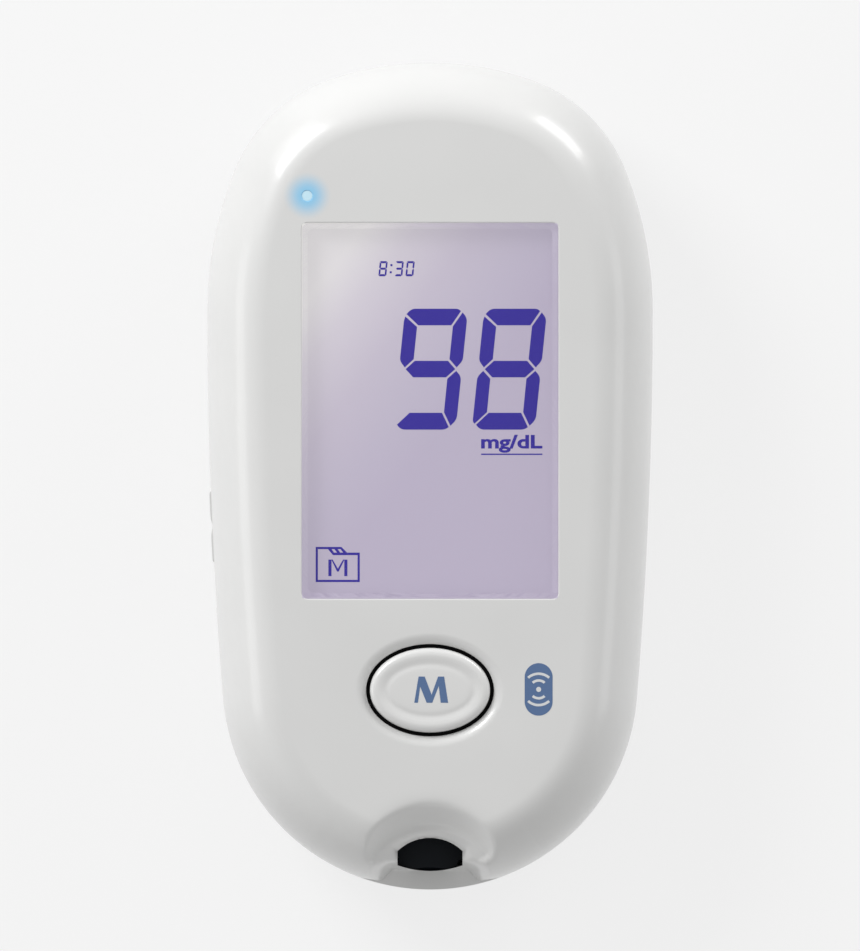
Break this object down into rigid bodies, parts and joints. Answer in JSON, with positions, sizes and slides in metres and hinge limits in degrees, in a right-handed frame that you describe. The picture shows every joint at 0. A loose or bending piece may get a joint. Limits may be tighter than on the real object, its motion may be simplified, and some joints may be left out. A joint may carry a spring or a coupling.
{
  "type": "blood glucose meter",
  "caption": "Hand-held blood glucose meter with a tall display, one oval button, a scooped strip port and a strip ejector.",
  "frame": {"origin": "under the middle of the back, on the face that the meter lies on", "axes": "+Z out of the display, +Y along the length towards the top end, +X to the reader's right; the strip port is at -Y"},
  "size_m": [0.0528, 0.098, 0.0223],
  "materials": {
    "case_front": "pearl white, satin gloss",
    "case_rear": "pearl white, satin gloss",
    "battery_cover": "pearl white, satin gloss",
    "button": "pearl white, gloss",
    "thumb_piece": "pearl white, satin",
    "lens": "clear hard-coated window",
    "tape": "grey foam tape",
    "display": "liquid crystal panel",
    "light_guide": "clear acrylic",
    "holder": "white",
    "elastomer": "layered silicone",
    "board": "green solder mask",
    "ceramic_parts": "fired ceramic",
    "switch_body": "black",
    "switch_plunger": "cream",
    "set_key": "grey silicone",
    "led": "blue emitter",
    "light_pipe": "clear acrylic",
    "connector": "natural nylon",
    "strip_contact": "gold flash",
    "bezel": "blue-black",
    "pusher": "grey acetal",
    "spring": "music wire",
    "cell": "printed sleeve",
    "battery_contact": "nickel plate",
    "screw": "zinc plate",
    "buzzer": "black",
    "radio_can": "tin plate",
    "chip": "black epoxy"
  },
  "bodies": {
    "root": {"front_shell": "case_front", "rear_shell": "case_rear", "display_lens": "lens", "lens_tape": "tape", "lcd_panel": "display", "light_guide": "light_guide", "lcd_holder": "holder", "zebra_strip": "elastomer", "main_board": "board", "board_parts": "ceramic_parts", "key_switch": "switch_body", "set_switch": "switch_body", "status_led": "led", "light_pipe": "light_pipe", "strip_connector": "connector", "strip_contacts": "strip_contact", "port_bezel": "bezel", "ejector_spring": "spring", "cell_left": "cell", "cell_right": "cell", "cell_springs": "spring", "bridge_contact": "battery_contact", "positive_contact": "battery_contact", "negative_contact": "battery_contact", "case_screws": "screw", "board_screws": "screw", "buzzer": "buzzer", "radio_module": "radio_can", "microcontroller": "chip"},
    "button": {"button_cap": "button", "key_plunger": "switch_plunger"},
    "set_key": {"set_button": "set_key", "set_plunger": "switch_plunger"},
    "ejector": {"ejector_slider": "thumb_piece", "ejector_pusher": "pusher"},
    "cover": {"battery_door": "battery_cover"}
  },
  "joints": [
    {"name": "button_press", "type": "slide", "parent": "root", "child": "button", "axis": [0, 0, -1], "range_m": [0, 0.0004], "stiffness_N_per_m": 2000, "springref_m": -0.0003},
    {"name": "set_press", "type": "slide", "parent": "root", "child": "set_key", "axis": [0, 0, 1], "range_m": [0, 0.0003], "stiffness_N_per_m": 1500, "springref_m": -0.0003},
    {"name": "ejector_slide", "type": "slide", "parent": "root", "child": "ejector", "axis": [0, -1, 0], "range_m": [0, 0.005], "stiffness_N_per_m": 300, "springref_m": -0.001, "deforming": ["ejector_spring"]},
    {"name": "cover_slide", "type": "slide", "parent": "root", "child": "cover", "axis": [0, 1, 0], "range_m": [0, 0.007]}
  ]
}
